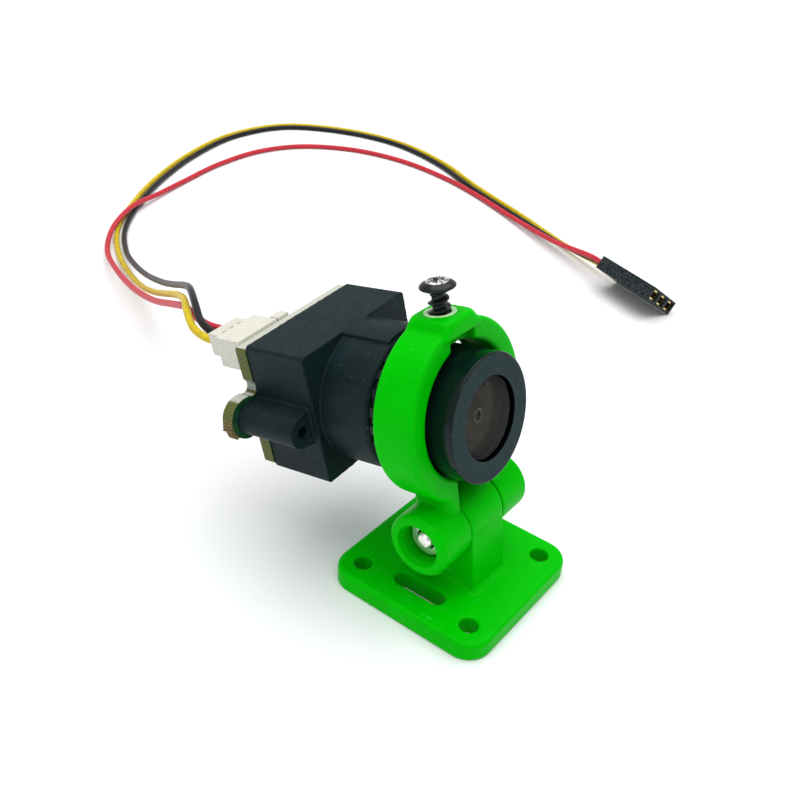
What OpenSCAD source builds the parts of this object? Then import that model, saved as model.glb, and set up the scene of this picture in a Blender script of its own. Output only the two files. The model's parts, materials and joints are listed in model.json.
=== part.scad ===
// Tilt mount with a small board camera.
// A square base carries a post. An open clamp ring tilts on the post and grips the camera's lens,
// and the camera is fed by three loose wires that end in a plug.
// Millimetres. The lens looks along -Y and upwards, and the base stands on Z = 0.

/* [Base] */
// Side of the square base plate
plate_w = 21; // [20:0.5:26]
// Thickness of the base plate
plate_t = 2.4; // [2:0.1:3]
// Radius of the plate's corners
plate_corner = 3; // [2:0.1:3.5]
// Distance between neighbouring mounting holes
hole_spacing = 15; // [14:0.5:16]
// Diameter of the mounting holes
hole_d = 2.2; // [1.8:0.1:2.6]
// Width of the slot beside the post
slot_w = 2; // [1.5:0.1:2.4]
// Overall length of the slot
slot_len = 6.8; // [4:0.2:8]
// Distance of the slot from the centre
slot_x = 6.5; // [6:0.1:7]

/* [Pivot] */
// Height of the tilt pivot above the surface
pivot_z = 10; // [9.5:0.5:12]
// Distance of the pivot in front of the plate's centre
pivot_front = 0.3; // [0:0.1:0.6]
// Tilt of the lens above level, in degrees
tilt = 12.5; // [-20:0.5:30]
// Radius of the post's top and of the ears
ear_r = 3.8; // [3.6:0.1:4.2]
// Thickness of the post between the ears
post_w = 6.2; // [5:0.1:6.2]
// Width of the slit between the ears
slit_w = 6.4; // [6.4:0.1:7]
// Distance from the centre to an ear's outer face
ear_x = 8.4; // [8.2:0.05:8.8]
// Diameter of the pivot bolt
bolt_d = 2; // [1.6:0.1:2]

/* [Clamp ring] */
// Height of the ring's axis above the pivot
ring_rise = 13.4; // [13:0.1:15]
// Outer radius of the ring
ring_r = 10.2; // [9.6:0.1:10.4]
// Radius of the ring's bore
ring_bore_r = 7.6; // [7.6:0.05:7.8]
// Width of the ring along its axis
ring_w = 5.2; // [4.6:0.1:5.2]
// Width of the boss on top of the ring
boss_w = 5.4; // [4.6:0.1:5.8]
// Height of the boss's top above the ring's axis
boss_top = 10.9; // [10.6:0.1:11.4]

/* [Lens] */
// Radius of the lens head that the ring grips
lens_r = 7.2; // [7:0.05:7.2]
// Radius of the lens thread
thread_r = 6; // [5.8:0.1:6]
// Drop of the lens's axis below the ring's axis
lens_drop = 0.42; // [0.38:0.01:0.42]
// Roll of the camera in the ring, in degrees
roll = 4.4; // [-20:0.2:20]
// Radius of the lock ring
lock_r = 7.9; // [7.4:0.1:8]
// Number of teeth round the lock ring
lock_teeth = 24; // [20:4:60]

/* [Camera] */
// Half the width of the camera's housing
housing_x = 9; // [8.6:0.05:9.2]
// Height of the housing's top above the lens axis
housing_top = 8.5; // [8.3:0.1:8.8]
// Depth of the housing's underside below the lens axis
housing_low = 7.5; // [7.2:0.1:7.6]
// Distance of a screw lug from the lens axis
lug_x = 10.4; // [10.2:0.1:10.8]
// Radius of the housing's lugs
lug_r = 1.9; // [1.6:0.1:2.1]
// Thickness of the circuit board
board_t = 1.6; // [1:0.1:1.6]

/* [Wires] */
// Diameter of each wire over its insulation
wire_d = 1; // [0.8:0.05:1]

/* [Hidden] */

$fn = 64;
pivot = [0, -pivot_front, pivot_z];
cut = 0.05;              // how far a cutting shape passes a face
fit = 0.05;              // radial clearance of a turning fit

// Stations along the lens axis, measured from the pivot, front to back.
lens_front = -5.3;
head_back = 1;
lock_front = 2.75;
lock_back = 4.9;
barrel_front = 5;
block_front = 11.65;
board_front = 20.3;
board_back = board_front + board_t;
lens_back = 14.2;

barrel_r = 8.13;
hood_front = 5.3;
cavity_front = 13.4;
cavity_x = 7.3;
cavity_top = 7;
cavity_low = 5.7;
lug_front = 12.4;
lug_hole_r = 0.7;

// The bolt's head sits in the far ear and its nut in the near ear.
recess_mouth_r = 2.55;
recess_r = 2.4;
recess_floor = 4.9;
nut_flats = 4;
nut_t = 1.6;
head_floor = 6.75;
head_r = 1.9;
bolt_head_t = 1.3;
bolt_len = 14;

// Clamp screw, measured above the ring's axis.
screw_tip = 6.8;
screw_head_low = 13.15;
screw_head_top = 14.5;
screw_head_r = 1.98;
screw_core_r = 0.75;
screw_crest_r = 1.2;
screw_pitch = 1;

// Power socket on the board's back, across and up from the lens axis.
wire_x = [-6.55, -5.3, -4.05];
socket_w = 6.8;
plug_back = 28;
contact_back = 26.4;
plug_front = 22.9;

// The cable plug lies leaning on one long edge.
cable_at = [81.5, 16.3, 3.27];
cable_turn = -112;
cable_lean = 36;
cable_size = [14, 7.62, 2.54];
cable_pitch = 2.54;
cable_depth = 3;         // how far a wire reaches into the plug

// Each wire's route from the power plug to the cable plug. It runs out of the power plug,
// sags to the surface and lies on it in one wide bend.
yellow_route = [
    [-6, 36.6, 21.9], [-3.6, 40.4, 21.8], [-0.4, 44.6, 20.7], [3.4, 50.4, 17.9], [7.6, 58, 13.8],
    [12, 66.4, 9.4], [17, 76, 5.2], [22, 85.5, 2.4], [27.8, 96, 0.8], [35, 105.5, 0.55],
    [45, 113.5, 0.55], [58, 121.4, 0.55], [74, 128.3, 0.55], [91, 132, 0.55], [106, 128.4, 0.55],
    [115, 116, 0.55], [118, 100, 0.55], [114.4, 83.5, 0.55], [107, 68.2, 0.55], [100.2, 52.4, 0.6],
    [92.2, 36, 0.9]];
black_route = [
    [-4.9, 36.4, 22.5], [-2.6, 40, 22.8], [0.7, 44.6, 21.9], [4.3, 50, 19.2], [8.6, 57.6, 15.1],
    [13.2, 66, 10.9], [18.2, 76, 6.9], [23.4, 86, 3.8], [28.9, 95.2, 1.5], [36, 104.4, 0.6],
    [45.7, 112.3, 0.55], [58.5, 120, 0.55], [74.3, 126.8, 0.55], [90.7, 130.4, 0.55],
    [105, 127.1, 0.55], [113.5, 115.2, 0.55], [116.5, 100, 0.55], [113, 84.2, 0.55],
    [105.7, 69, 0.55], [98.8, 53.2, 0.7], [91, 37.6, 1.7]];
red_route = [
    [-3.9, 36.6, 21.6], [-2.4, 40.6, 20.8], [0, 45, 19.4], [3, 51, 16.4], [8, 61.8, 11.2],
    [13.8, 74, 6.7], [20, 86.4, 3.5], [26.3, 97.4, 1.7], [34, 105.2, 1.7], [43, 110.6, 1.7],
    [52, 113.6, 0.9], [62, 116.3, 0.55], [74.5, 118.8, 0.55], [87.5, 118.8, 0.55],
    [98, 114.2, 0.55], [105.4, 104, 0.55], [108, 91, 0.55], [106.4, 77, 0.55], [102.6, 65, 0.6],
    [97, 52.4, 0.9], [89.8, 38.6, 2.3]];

// ---- Frames ----

// Tilted with the ring: origin on the pivot, Y back along the lens, Z up through the ring.
module tilt_frame() {
    translate(pivot) rotate([-tilt, 0, 0]) children();
}

module ring_frame() {
    tilt_frame() translate([0, 0, ring_rise]) children();
}

module lens_frame() {
    ring_frame() translate([0, 0, -lens_drop]) rotate([0, -roll, 0]) children();
}

module cable_frame() {
    translate(cable_at) rotate([0, 0, cable_turn]) rotate([-cable_lean, 0, 0]) children();
}

// Turns a shape built along Z so that it runs back along Y.
module along_y(y = 0) {
    translate([0, y, 0]) rotate([-90, 0, 0]) children();
}

// Turns a shape built along Z so that it runs along X.
module along_x(x = 0) {
    translate([x, 0, 0]) rotate([0, 90, 0]) children();
}

function turn_x(p, a) = [p.x, p.y * cos(a) - p.z * sin(a), p.y * sin(a) + p.z * cos(a)];
function turn_y(p, a) = [p.x * cos(a) + p.z * sin(a), p.y, p.z * cos(a) - p.x * sin(a)];
function turn_z(p, a) = [p.x * cos(a) - p.y * sin(a), p.x * sin(a) + p.y * cos(a), p.z];

// A point of the lens frame and of the cable plug's frame, in the model's own frame.
function lens_point(p) =
    turn_x(turn_y(p, -roll) + [0, 0, ring_rise - lens_drop], -tilt) + pivot;
function cable_point(p) = cable_at + turn_z(turn_x(p, -cable_lean), cable_turn);

// ---- Shapes that repeat ----

// Upright rounded box, centred in X and Y, standing on Z = 0, with its top edge rounded too.
module rounded_block(size, corner, edge) {
    hull()
        for (x = [-1, 1], y = [-1, 1])
            translate([x * (size.x / 2 - corner), y * (size.y / 2 - corner), 0])
                rounded_puck(corner, size.z, edge);
}

module rounded_puck(r, h, edge) {
    rotate_extrude($fn = 32)
        polygon(concat([[0, 0], [r, 0]],
                       [for (a = [0:30:90]) [r - edge + edge * cos(a), h - edge + edge * sin(a)]],
                       [[0, h]]));
}

// Round bar along Z with both ends chamfered.
module chamfered_bar(r, low, high, c_low, c_high) {
    rotate_extrude()
        polygon([[0, low], [r - c_low, low], [r, low + c_low], [r, high - c_high],
                 [r - c_high, high], [0, high]]);
}

module tube(r_out, r_in, low, high) {
    difference() {
        translate([0, 0, low]) cylinder(r = r_out, h = high - low);
        translate([0, 0, low - cut]) cylinder(r = r_in, h = high - low + 2 * cut);
    }
}

// Lens element on the Z axis between two edge heights, each face domed outwards.
module element(r, low, high, dome_low, dome_high) {
    steps = 8;
    rotate_extrude()
        polygon(concat(
            [for (i = [0:steps]) [r * i / steps, low - dome_low * (1 - pow(i / steps, 2))]],
            [for (i = [steps:-1:0]) [r * i / steps, high + dome_high * (1 - pow(i / steps, 2))]]));
}

module centred_box(at, size) {
    translate([at.x - size.x / 2, at.y, at.z - size.z / 2]) cube(size);
}

// Smooth curve through a list of points, with the same number of steps between neighbours.
function curve_point(a, b, c, d, t) =
    0.5 * (2 * b + (c - a) * t + (2 * a - 5 * b + 4 * c - d) * t * t
           + (3 * b - a - 3 * c + d) * t * t * t);
function smooth(p, steps) =
    concat([for (i = [0:len(p) - 2]) for (k = [0:steps - 1])
                curve_point(p[max(i - 1, 0)], p[i], p[i + 1], p[min(i + 2, len(p) - 1)], k / steps)],
           [p[len(p) - 1]]);
function unit(v) = v / norm(v);
function heading(p, i) = unit(p[min(i + 1, len(p) - 1)] - p[max(i - 1, 0)]);

// Tube of round section swept along a path that never runs straight up.
module swept(path, d, sides = 8) {
    n = len(path);
    rings = [for (i = [0:n - 1])
        let (along = heading(path, i), side = unit(cross(along, [0, 0, 1])), up = cross(side, along))
            for (k = [0:sides - 1])
                path[i] + d / 2 * (cos(360 * k / sides) * side + sin(360 * k / sides) * up)];
    walls = [for (i = [0:n - 2]) for (k = [0:sides - 1])
        let (a = i * sides + k, b = i * sides + (k + 1) % sides)
            [a, b, b + sides, a + sides]];
    ends = [[for (k = [sides - 1:-1:0]) k], [for (k = [0:sides - 1]) (n - 1) * sides + k]];
    polyhedron(rings, concat(walls, ends));
}

// ---- Base ----

module post() {
    foot = 4.8;          // half the post's depth at the plate
    fillet = 0.8;
    start = plate_t - cut;
    // Side view: a tapered web that flares into the plate.
    along_x(-post_w / 2) linear_extrude(post_w)
        polygon(concat(
            [[-start, -foot - fillet]],
            [for (a = [90:-15:0])
                [-(plate_t + fillet * (1 - sin(a))), -(foot + fillet * (1 - cos(a)))]],
            [[-pivot_z, -ear_r + 0.02], [-pivot_z, ear_r - 0.02]],
            [for (a = [0:15:90])
                [-(plate_t + fillet * (1 - sin(a))), foot + fillet * (1 - cos(a))]],
            [[-start, foot + fillet]]));
    // Front view: the same flare on the other two faces.
    for (side = [-1, 1])
        translate([side * (post_w / 2 - cut), foot, 0]) rotate([90, 0, 0]) linear_extrude(2 * foot)
            polygon(concat([[0, start]],
                           [for (a = [90:-15:0])
                               [side * (cut + fillet * (1 - cos(a))), plate_t + fillet * (1 - sin(a))]],
                           [[0, plate_t + fillet]]));
    translate([0, 0, pivot_z]) along_x(-post_w / 2)
        chamfered_bar(ear_r, 0, post_w, 0.2, 0.2);
}

module base() {
    color([0.1, 0.8, 0.12]) difference() {
        union() {
            rounded_block([plate_w, plate_w, plate_t], plate_corner, 0.5);
            translate([0, -pivot_front, 0]) post();
        }
        for (x = [-1, 1], y = [-1, 1])
            translate([x * hole_spacing / 2, y * hole_spacing / 2, -cut])
                cylinder(d = hole_d, h = plate_t + 2 * cut);
        for (y = [-1, 1])
            translate([-slot_x, y * (slot_len - slot_w) / 2, -cut])
                cylinder(d = slot_w, h = plate_t + 2 * cut);
        translate([-slot_x - slot_w / 2, (slot_w - slot_len) / 2, -cut])
            cube([slot_w, slot_len - slot_w, plate_t + 2 * cut]);
        translate(pivot) along_x(-post_w) cylinder(r = bolt_d / 2 + fit, h = 2 * post_w);
    }
}

// ---- Clamp ring ----

// Closed band with rounded outer edges, running along Z, before the slit is cut.
module band() {
    edge = 0.5;
    half = ring_w / 2;
    rotate_extrude($fn = 96)
        polygon(concat(
            [[ring_bore_r - 1, -half]],
            [for (a = [-90:30:0]) [ring_r - edge + edge * cos(a), -half + edge + edge * sin(a)]],
            [for (a = [0:30:90]) [ring_r - edge + edge * cos(a), half - edge + edge * sin(a)]],
            [[ring_bore_r - 1, half]]));
}

// One ear and the neck that joins it to the band; side is -1 or 1.
module ear(side) {
    inner = slit_w / 2 - 0.2;
    neck_w = 2.2;
    neck_h = 5.6;
    corner = 1.2;
    translate([0, 0, -ring_rise]) mirror([side < 0 ? 1 : 0, 0, 0]) {
        translate([inner, -ring_w / 2, 0]) cube([neck_w - corner, ring_w, neck_h]);
        translate([inner, corner - ring_w / 2, 0]) cube([neck_w, ring_w - 2 * corner, neck_h]);
        for (v = [-1, 1])
            translate([inner + neck_w - corner, v * (ring_w / 2 - corner), 0])
                cylinder(r = corner, h = neck_h);
    }
    translate([0, 0, -ring_rise]) along_x() mirror([0, 0, side < 0 ? 1 : 0])
        chamfered_bar(ear_r, inner, ear_x, 0.01, 0.4);
}

// Boss for the clamp screw, with flanks that flare into the band.
module boss() {
    low = 8.9;
    flare = 0.5;
    depth = ring_w + 0.35;
    foot_w = boss_w + 2 * flare;
    hull() {
        translate([0, -0.175, boss_top - 0.6]) rounded_block([boss_w, depth, 0.6], 1.2, 0.5);
        translate([-foot_w / 2, -depth / 2 - 0.175, low]) cube([foot_w, depth, 0.35]);
    }
}

// Round bore with both mouths chamfered, cut through the band.
module ring_bore() {
    mouth = 0.3;
    half = ring_w / 2;
    rotate_extrude($fn = 96)
        polygon([[0, -half - cut], [ring_bore_r + mouth + cut, -half - cut],
                 [ring_bore_r, -half + mouth], [ring_bore_r, half - mouth],
                 [ring_bore_r + mouth + cut, half + cut], [0, half + cut]]);
}

module clamp_ring() {
    notch = [4.3, 1.3, 3.7];
    color([0.1, 0.8, 0.12]) ring_frame() difference() {
        union() {
            along_y() band();
            ear(-1);
            ear(1);
            boss();
        }
        along_y() ring_bore();
        translate([-slit_w / 2, -6, -20]) cube([slit_w, 12, 16]);
        // Relief under the boss, open to the front.
        translate([-notch.x / 2, -ring_w / 2 - 0.2, 5]) cube(notch);
        // Clamp screw's hole.
        translate([0, 0, 5]) cylinder(r = screw_crest_r + fit, h = 8);
        // Pivot bolt's hole and the recesses for its nut and its head.
        translate([0, 0, -ring_rise]) {
            along_x(-12) cylinder(r = bolt_d / 2 + fit, h = 24);
            along_x(-12) cylinder(r = recess_r, h = 12 - recess_floor);
            along_x(-12) cylinder(r = recess_mouth_r, h = 12 - ear_x + 0.6);
            along_x(head_floor) cylinder(r = head_r + 0.2, h = 4);
        }
    }
}

module pivot_bolt() {
    tip = head_floor - bolt_len;
    color([0.75, 0.76, 0.78]) tilt_frame() difference() {
        union() {
            along_x() chamfered_bar(bolt_d / 2, tip, head_floor + 0.5, 0.3, 0);
            along_x() rotate_extrude()
                polygon([[0, head_floor + 0.02], [head_r, head_floor + 0.02],
                         [head_r, head_floor + bolt_head_t - 0.3],
                         [head_r - 0.3, head_floor + bolt_head_t], [0, head_floor + bolt_head_t]]);
        }
        // Hexagon socket.
        along_x(head_floor + bolt_head_t - 0.8) cylinder(d = 1.5, h = 1, $fn = 6);
    }
}

module pivot_nut() {
    color([0.78, 0.78, 0.76]) tilt_frame() difference() {
        along_x(-recess_floor - nut_t - 0.02)
            cylinder(d = nut_flats / cos(30), h = nut_t, $fn = 6);
        along_x(-recess_floor - nut_t - 1) cylinder(r = bolt_d / 2 + 0.03, h = nut_t + 2);
    }
}

// Self-cutting thread as stacked ridges, blunt at the tip.
module clamp_screw() {
    turns = floor((screw_head_low - screw_tip - 0.6) / screw_pitch);
    first = screw_tip + 0.45;
    color([0.12, 0.12, 0.13]) ring_frame() difference() {
        union() {
            rotate_extrude()
                polygon(concat(
                    [[0, screw_tip], [screw_core_r - 0.25, screw_tip], [screw_core_r, first - 0.1]],
                    [for (i = [0:turns - 1]) each [
                        [screw_core_r, first + i * screw_pitch],
                        [screw_crest_r, first + (i + 0.3) * screw_pitch],
                        [screw_crest_r, first + (i + 0.4) * screw_pitch],
                        [screw_core_r, first + (i + 0.7) * screw_pitch]]],
                    [[screw_core_r, screw_head_low + 0.2], [0, screw_head_low + 0.2]]));
            rotate_extrude()
                polygon(concat([[0, screw_head_low], [screw_crest_r - 0.1, screw_head_low],
                                [screw_head_r, screw_head_low + 0.45],
                                [screw_head_r, screw_head_low + 0.6]],
                               [for (a = [15:15:90])
                                   [screw_head_r - 1.1 + 1.1 * cos(a),
                                    screw_head_low + 0.6 + 0.6 * sin(a)]],
                               [[0, screw_head_top]]));
        }
        // Cross recess.
        for (a = [0, 90])
            rotate([0, 0, a + 20]) translate([-1.05, -0.26, screw_head_top - 0.8])
                cube([2.1, 0.52, 1]);
    }
}

// ---- Lens ----

module lens_barrel() {
    color([0.14, 0.15, 0.16]) lens_frame() along_y() rotate_extrude($fn = 96)
        polygon([[5.3, lens_front], [lens_r - 0.2, lens_front], [lens_r, lens_front + 0.2],
                 [lens_r, head_back - 0.2], [lens_r - 0.2, head_back], [thread_r, head_back],
                 [thread_r, 12.8], [thread_r - 0.4, 13.2], [5.4, 13.2], [5.4, lens_back],
                 [4.6, lens_back], [4.6, 8.5], [3, 8.5], [3, 3.2], [4.3, 3.2], [4.3, -3.35],
                 [4.9, -3.35], [4.9, -4.7], [5.3, -4.7]]);
}

module lens_retainer() {
    color([0.1, 0.1, 0.11]) lens_frame() along_y() tube(5.28, 4.7, lens_front + 0.02, -4.72);
}

module front_lens() {
    color([0.3, 0.32, 0.36]) lens_frame() along_y() element(4.87, -4.67, -3.38, 0.3, 0);
}

// Spacer tube whose front end is a stop with a small aperture.
module lens_spacer() {
    color([0.12, 0.12, 0.12]) lens_frame() along_y() {
        tube(4.27, 0.75, -3.3, -3);
        tube(4.27, 3.4, -3.05, 0.65);
    }
}

module middle_lens() {
    color([0.3, 0.32, 0.36]) lens_frame() along_y() element(4.27, 0.95, 3.15, 0.6, -0.5);
}

module rear_lens() {
    color([0.3, 0.32, 0.36]) lens_frame() along_y() element(4.57, 8.55, 11, -0.3, 0.4);
}

module ir_filter() {
    color([0.45, 0.2, 0.25]) lens_frame() along_y(12.6) cylinder(r = 4.57, h = 0.5);
}

// Outline of the lock ring: square teeth round a circle.
function tooth_outline(r_out, r_in, n) =
    [for (i = [0:n - 1]) let (a = 360 * i / n, step = 360 / n) each [
        r_in * [cos(a), sin(a)], r_out * [cos(a + 0.1 * step), sin(a + 0.1 * step)],
        r_out * [cos(a + 0.55 * step), sin(a + 0.55 * step)],
        r_in * [cos(a + 0.65 * step), sin(a + 0.65 * step)]]];

module lock_ring() {
    color([0.13, 0.14, 0.16]) lens_frame() along_y(lock_front) difference() {
        linear_extrude(lock_back - lock_front) polygon(tooth_outline(lock_r, lock_r - 0.35, lock_teeth));
        translate([0, 0, -cut]) cylinder(r = thread_r + fit, h = 4);
    }
}

// ---- Camera ----

// Screw lug beside the housing, joined to it by a web; side is -1 or 1. From its front to its
// back it moves outwards and upwards by the two amounts of spread.
module lug(side, r_front, r_back, low, high, web, spread = [0, 0]) {
    hull() {
        translate([side * lug_x, low, 0]) lug_disc(r_front);
        translate([side * (lug_x + spread.x), high - 0.1, spread.y]) lug_disc(r_back);
        translate([side * (housing_x - 0.3) - 0.1, low, -web / 2]) cube([0.2, high - low, web]);
    }
}

module lug_disc(r) {
    rotate([-90, 0, 0]) cylinder(r = r, h = 0.1, $fn = 32);
}

module housing_block() {
    translate([0, block_front, (housing_top - housing_low) / 2]) rotate([-90, 0, 0])
        rounded_slab([2 * housing_x, housing_top + housing_low, board_front - block_front], 0.4);
}

// Box standing on Z = 0, centred in X and Y, with its four upright edges rounded.
module rounded_slab(size, corner) {
    hull()
        for (x = [-1, 1], y = [-1, 1])
            translate([x * (size.x / 2 - corner), y * (size.y / 2 - corner), 0])
                cylinder(r = corner, h = size.z, $fn = 32);
}

// Raised shell over the top of the barrel, flush with the housing's top.
module hood() {
    from = 20;
    to = 104;
    translate([0, hood_front, 0]) rotate([90, 0, 0]) mirror([0, 0, 1])
        rotate([0, 0, from]) rotate_extrude(angle = to - from, $fn = 96)
            translate([barrel_r - 0.3, 0])
                square([housing_top - barrel_r + 0.3, block_front - hood_front + 0.3]);
}

module camera_housing() {
    color([0.1, 0.11, 0.13]) lens_frame() difference() {
        union() {
            along_y() chamfered_bar(barrel_r, barrel_front, block_front + 0.5, 0.35, 0);
            housing_block();
            hood();
            for (side = [-1, 1])
                lug(side, lug_r, lug_r - 0.1, lug_front, board_front, 4.4, [0.6, 0.4]);
        }
        along_y(barrel_front - 1) cylinder(r = thread_r + fit, h = 12);
        translate([-cavity_x, cavity_front, -cavity_low])
            cube([2 * cavity_x, board_front - cavity_front + 1, cavity_top + cavity_low]);
        for (side = [-1, 1])
            translate([side * lug_x, lug_front - 1, 0]) rotate([-90, 0, 0])
                cylinder(r = lug_hole_r, h = 12);
    }
}

// Board outline: the housing's outline with larger lugs and a round notch above the left one.
// Its top edge stands a little lower than the housing's.
module sensor_board() {
    left = 9.1;
    low = 7.1;
    high = housing_top - 0.4;
    lug_out = 0.65;
    notch_r = 0.85;
    notch_deep = 0.35;
    color([0.28, 0.3, 0.16]) lens_frame() difference() {
        union() {
            translate([0, board_front, (high - low) / 2]) rotate([-90, 0, 0])
                rounded_slab([2 * left, high + low, board_t], 0.35);
            for (side = [-1, 1])
                translate([side * lug_out, 0, 0.45]) lug(side, 2.45, 2.45, board_front, board_back, 4.6);
        }
        translate([-left - notch_r + notch_deep, board_front - 1, 3.45]) rotate([-90, 0, 0])
            cylinder(r = notch_r, h = 4);
        for (side = [-1, 1])
            translate([side * lug_x, board_front - 1, 0]) rotate([-90, 0, 0]) cylinder(r = 0.85, h = 4);
    }
}

module image_sensor() {
    color([0.2, 0.2, 0.22]) lens_frame() centred_box([0, board_front - 1.3, 0], [9, 1.3, 8.2]);
}

module video_processor() {
    color([0.08, 0.08, 0.09]) lens_frame() centred_box([1.6, board_back, -0.8], [7, 0.9, 7]);
}

module board_capacitors() {
    size = [1, 0.55, 0.5];
    color([0.6, 0.5, 0.38]) lens_frame() {
        for (z = [-4.6:1.3:1.9]) centred_box([-3.6, board_back, z], size);
        for (x = [-0.6:1.5:5.4]) centred_box([x, board_back, -5.8], size);
    }
}

module board_crystal() {
    color([0.75, 0.74, 0.7]) lens_frame() centred_box([3.8, board_back, 5.2], [3.2, 0.8, 2.5]);
}

module board_screws() {
    color([0.15, 0.15, 0.16]) lens_frame()
        for (side = [-1, 1])
            translate([side * lug_x, 0, 0]) difference() {
                union() {
                    along_y() chamfered_bar(lug_hole_r - 0.02, 14.3, board_back + 0.3, 0.3, 0);
                    along_y() chamfered_bar(1.4, board_back, board_back + 1, 0, 0.3);
                }
                for (a = [0, 90])
                    rotate([0, a + 45, 0]) translate([-0.7, board_back + 0.4, -0.16])
                        cube([1.4, 1, 0.32]);
            }
}

// ---- Power socket, plug and wires ----

module power_socket() {
    color([0.93, 0.9, 0.8]) lens_frame() difference() {
        translate([-8.5, board_back, 4.8]) cube([6.4, 3.8, 3.7]);
        translate([-7.7, plug_front - 0.1, 5.3]) cube([4.8, 4, 3]);
        for (x = wire_x) centred_box([x, board_back - 1, socket_w], [0.44, 4, 0.44]);
    }
}

module socket_pins() {
    color([0.8, 0.72, 0.45]) lens_frame()
        for (x = wire_x) centred_box([x, board_back + 0.02, socket_w], [0.4, 3.1, 0.4]);
}

module aux_socket() {
    color([0.93, 0.9, 0.8]) lens_frame() difference() {
        translate([-1.9, board_back, 5.4]) cube([1.8, 1.4, 3.1]);
        translate([-1.5, board_back + 0.5, 5.8]) cube([1, 1, 2.3]);
    }
}

module power_plug() {
    size = [4.6, plug_back - plug_front, 2.8];
    color([0.95, 0.93, 0.85]) lens_frame() difference() {
        centred_box([wire_x[1], plug_front, socket_w], size);
        for (x = wire_x)
            translate([x, plug_front - 1, socket_w]) rotate([-90, 0, 0])
                cylinder(d = wire_d + 0.04, h = 8);
    }
}

module power_contacts() {
    color([0.8, 0.72, 0.45]) lens_frame()
        for (x = wire_x)
            translate([x, 0, socket_w]) difference() {
                along_y(plug_front + 0.1) cylinder(d = wire_d, h = contact_back - plug_front - 0.1);
                centred_box([0, plug_front - 1, 0], [0.44, 3.2, 0.44]);
            }
}

// Whole path of a wire: straight out of the power plug, along its route, into the cable plug.
function wire_path(route, x, place) =
    let (start = [for (v = [contact_back, plug_back, plug_back + 2]) lens_point([x, v, socket_w])],
         wire_end = -cable_size.x / 2,
         finish = [cable_point([wire_end - 4, place, 0]), cable_point([wire_end, place, 0]),
                   cable_point([wire_end + cable_depth, place, 0])])
        smooth(concat(start, route, finish), 3);

module wire_yellow() {
    color([0.85, 0.75, 0.1]) swept(wire_path(yellow_route, wire_x[0], cable_pitch), wire_d);
}

module wire_black() {
    color([0.08, 0.08, 0.08]) swept(wire_path(black_route, wire_x[1], 0), wire_d);
}

module wire_red() {
    color([0.75, 0.1, 0.08]) swept(wire_path(red_route, wire_x[2], -cable_pitch), wire_d);
}

module cable_plug() {
    color([0.09, 0.1, 0.11]) cable_frame() difference() {
        cube(cable_size, center = true);
        for (place = [-cable_pitch, 0, cable_pitch]) {
            translate([-cable_size.x, place, 0]) along_x() cylinder(d = wire_d + 0.1, h = 20);
            translate([-cable_size.x / 2 + cable_depth, place - 0.9, -0.9]) cube([20, 1.8, 1.8]);
            // Window over each contact's latch.
            translate([0.5, place - 0.7, 0]) cube([2.4, 1.4, 3]);
        }
    }
}

module cable_contacts() {
    color([0.8, 0.72, 0.45]) cable_frame()
        for (place = [-cable_pitch, 0, cable_pitch])
            difference() {
                translate([-cable_size.x / 2 + cable_depth, place - 0.85, -0.85])
                    cube([cable_size.x - cable_depth - 0.4, 1.7, 1.7]);
                translate([-2.5, place - 0.6, -0.6]) cube([12, 1.2, 1.2]);
            }
}

base();
clamp_ring();
pivot_bolt();
pivot_nut();
clamp_screw();
lens_barrel();
lens_retainer();
front_lens();
lens_spacer();
middle_lens();
rear_lens();
ir_filter();
lock_ring();
camera_housing();
sensor_board();
image_sensor();
video_processor();
board_capacitors();
board_crystal();
board_screws();
power_socket();
socket_pins();
aux_socket();
power_plug();
power_contacts();
wire_yellow();
wire_black();
wire_red();
cable_plug();
cable_contacts();
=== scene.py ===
"""Looks of a small board camera in a green tilting clamp, with three loose wires and their plugs.

Shapes are worked out in millimetres, in the CAD model's own frames, and made in metres.
"""

import json
import math

import bmesh
import bpy
from mathutils import Matrix, Vector


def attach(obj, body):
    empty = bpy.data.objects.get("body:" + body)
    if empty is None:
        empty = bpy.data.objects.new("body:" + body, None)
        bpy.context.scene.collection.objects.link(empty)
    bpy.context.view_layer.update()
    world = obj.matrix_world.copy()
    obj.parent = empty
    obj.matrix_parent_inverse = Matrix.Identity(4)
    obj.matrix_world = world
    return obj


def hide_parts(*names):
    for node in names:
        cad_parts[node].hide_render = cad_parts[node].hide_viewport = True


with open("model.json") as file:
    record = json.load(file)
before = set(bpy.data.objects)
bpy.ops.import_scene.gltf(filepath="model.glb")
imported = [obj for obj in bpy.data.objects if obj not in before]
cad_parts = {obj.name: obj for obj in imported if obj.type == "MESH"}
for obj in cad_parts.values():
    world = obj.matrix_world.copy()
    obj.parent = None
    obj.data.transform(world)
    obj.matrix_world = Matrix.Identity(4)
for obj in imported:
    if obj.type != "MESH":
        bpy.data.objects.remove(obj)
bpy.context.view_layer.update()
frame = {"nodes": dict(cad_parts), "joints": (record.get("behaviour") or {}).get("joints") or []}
scene = bpy.context.scene
MM = 0.001

# ---- Frames, in millimetres ----

TILT = math.radians(12.5)
ROLL = math.radians(4.4)
RING_RISE = 13.4
LENS_DROP = 0.42
JOINTS = {joint["name"]: joint for joint in frame["joints"]}
PIVOT = Vector(JOINTS["tilt"]["pos_m"]) / MM
HERE = Matrix.Identity(4)
ALONG_Y = Matrix.Rotation(math.radians(-90), 4, "X")
ALONG_X = Matrix.Rotation(math.radians(90), 4, "Y")
TILTED = Matrix.Translation(PIVOT) @ Matrix.Rotation(-TILT, 4, "X")
RING = TILTED @ Matrix.Translation((0, 0, RING_RISE))
LENS = RING @ Matrix.Translation((0, 0, -LENS_DROP)) @ Matrix.Rotation(-ROLL, 4, "Y")
LENS_AXIS = LENS @ ALONG_Y
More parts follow.
